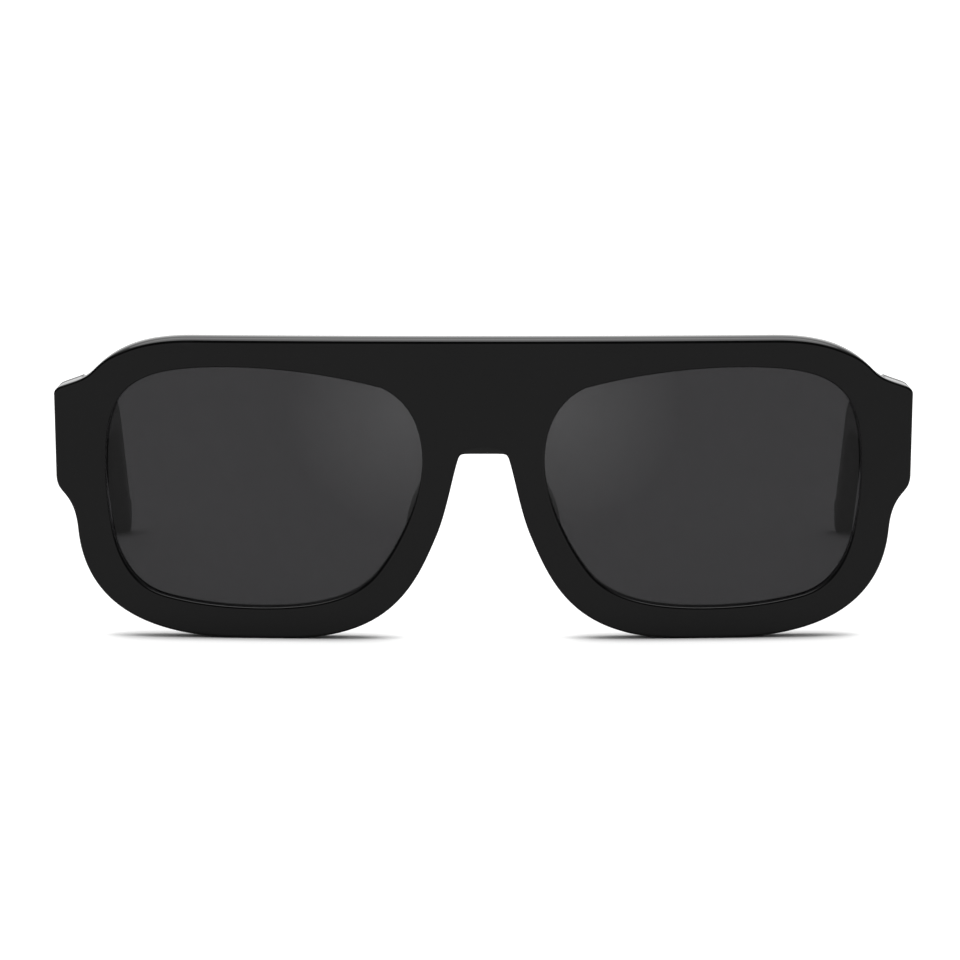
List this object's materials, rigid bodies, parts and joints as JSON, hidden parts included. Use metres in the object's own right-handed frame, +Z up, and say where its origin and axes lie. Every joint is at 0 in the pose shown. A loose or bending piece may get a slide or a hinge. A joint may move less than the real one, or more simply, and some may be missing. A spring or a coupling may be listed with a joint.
{
  "type": "square sunglasses",
  "caption": "Square full-rim sunglasses with a thick plastic front, tinted lenses and folding temples on knuckle hinges.",
  "frame": {"origin": "centre of the open sunglasses' footprint, at the height of the table that the rims and temple tips stand on", "axes": "+X towards the wearer's left, +Y back along the open temples, +Z up; the lenses face -Y"},
  "size_m": [0.148, 0.154, 0.0521],
  "materials": {
    "acetate": "polished black cellulose acetate",
    "pad": "polished black cellulose acetate",
    "lens": "neutral grey tinted lens",
    "hinge_metal": "nickel silver, tumbled",
    "screw_metal": "turned steel",
    "wire_metal": "drawn nickel silver"
  },
  "bodies": {
    "front": {"front_frame": "acetate", "left_lens": "lens", "right_lens": "lens", "left_nose_pad": "pad", "right_nose_pad": "pad", "left_front_hinge": "hinge_metal", "right_front_hinge": "hinge_metal", "left_hinge_screw": "screw_metal", "right_hinge_screw": "screw_metal"},
    "left_temple": {"left_temple": "acetate", "left_temple_hinge": "hinge_metal", "left_core_wire": "wire_metal"},
    "right_temple": {"right_temple": "acetate", "right_temple_hinge": "hinge_metal", "right_core_wire": "wire_metal"}
  },
  "joints": [
    {"name": "left_temple_fold", "type": "hinge", "parent": "front", "child": "left_temple", "pos_m": [0.0679, -0.06251, 0.0344], "axis": [0, 0.0743, 0.9972], "range_deg": [0, 92]},
    {"name": "right_temple_fold", "type": "hinge", "parent": "front", "child": "right_temple", "pos_m": [-0.0679, -0.06251, 0.0344], "axis": [0, -0.0743, -0.9972], "range_deg": [0, 87.3]}
  ]
}
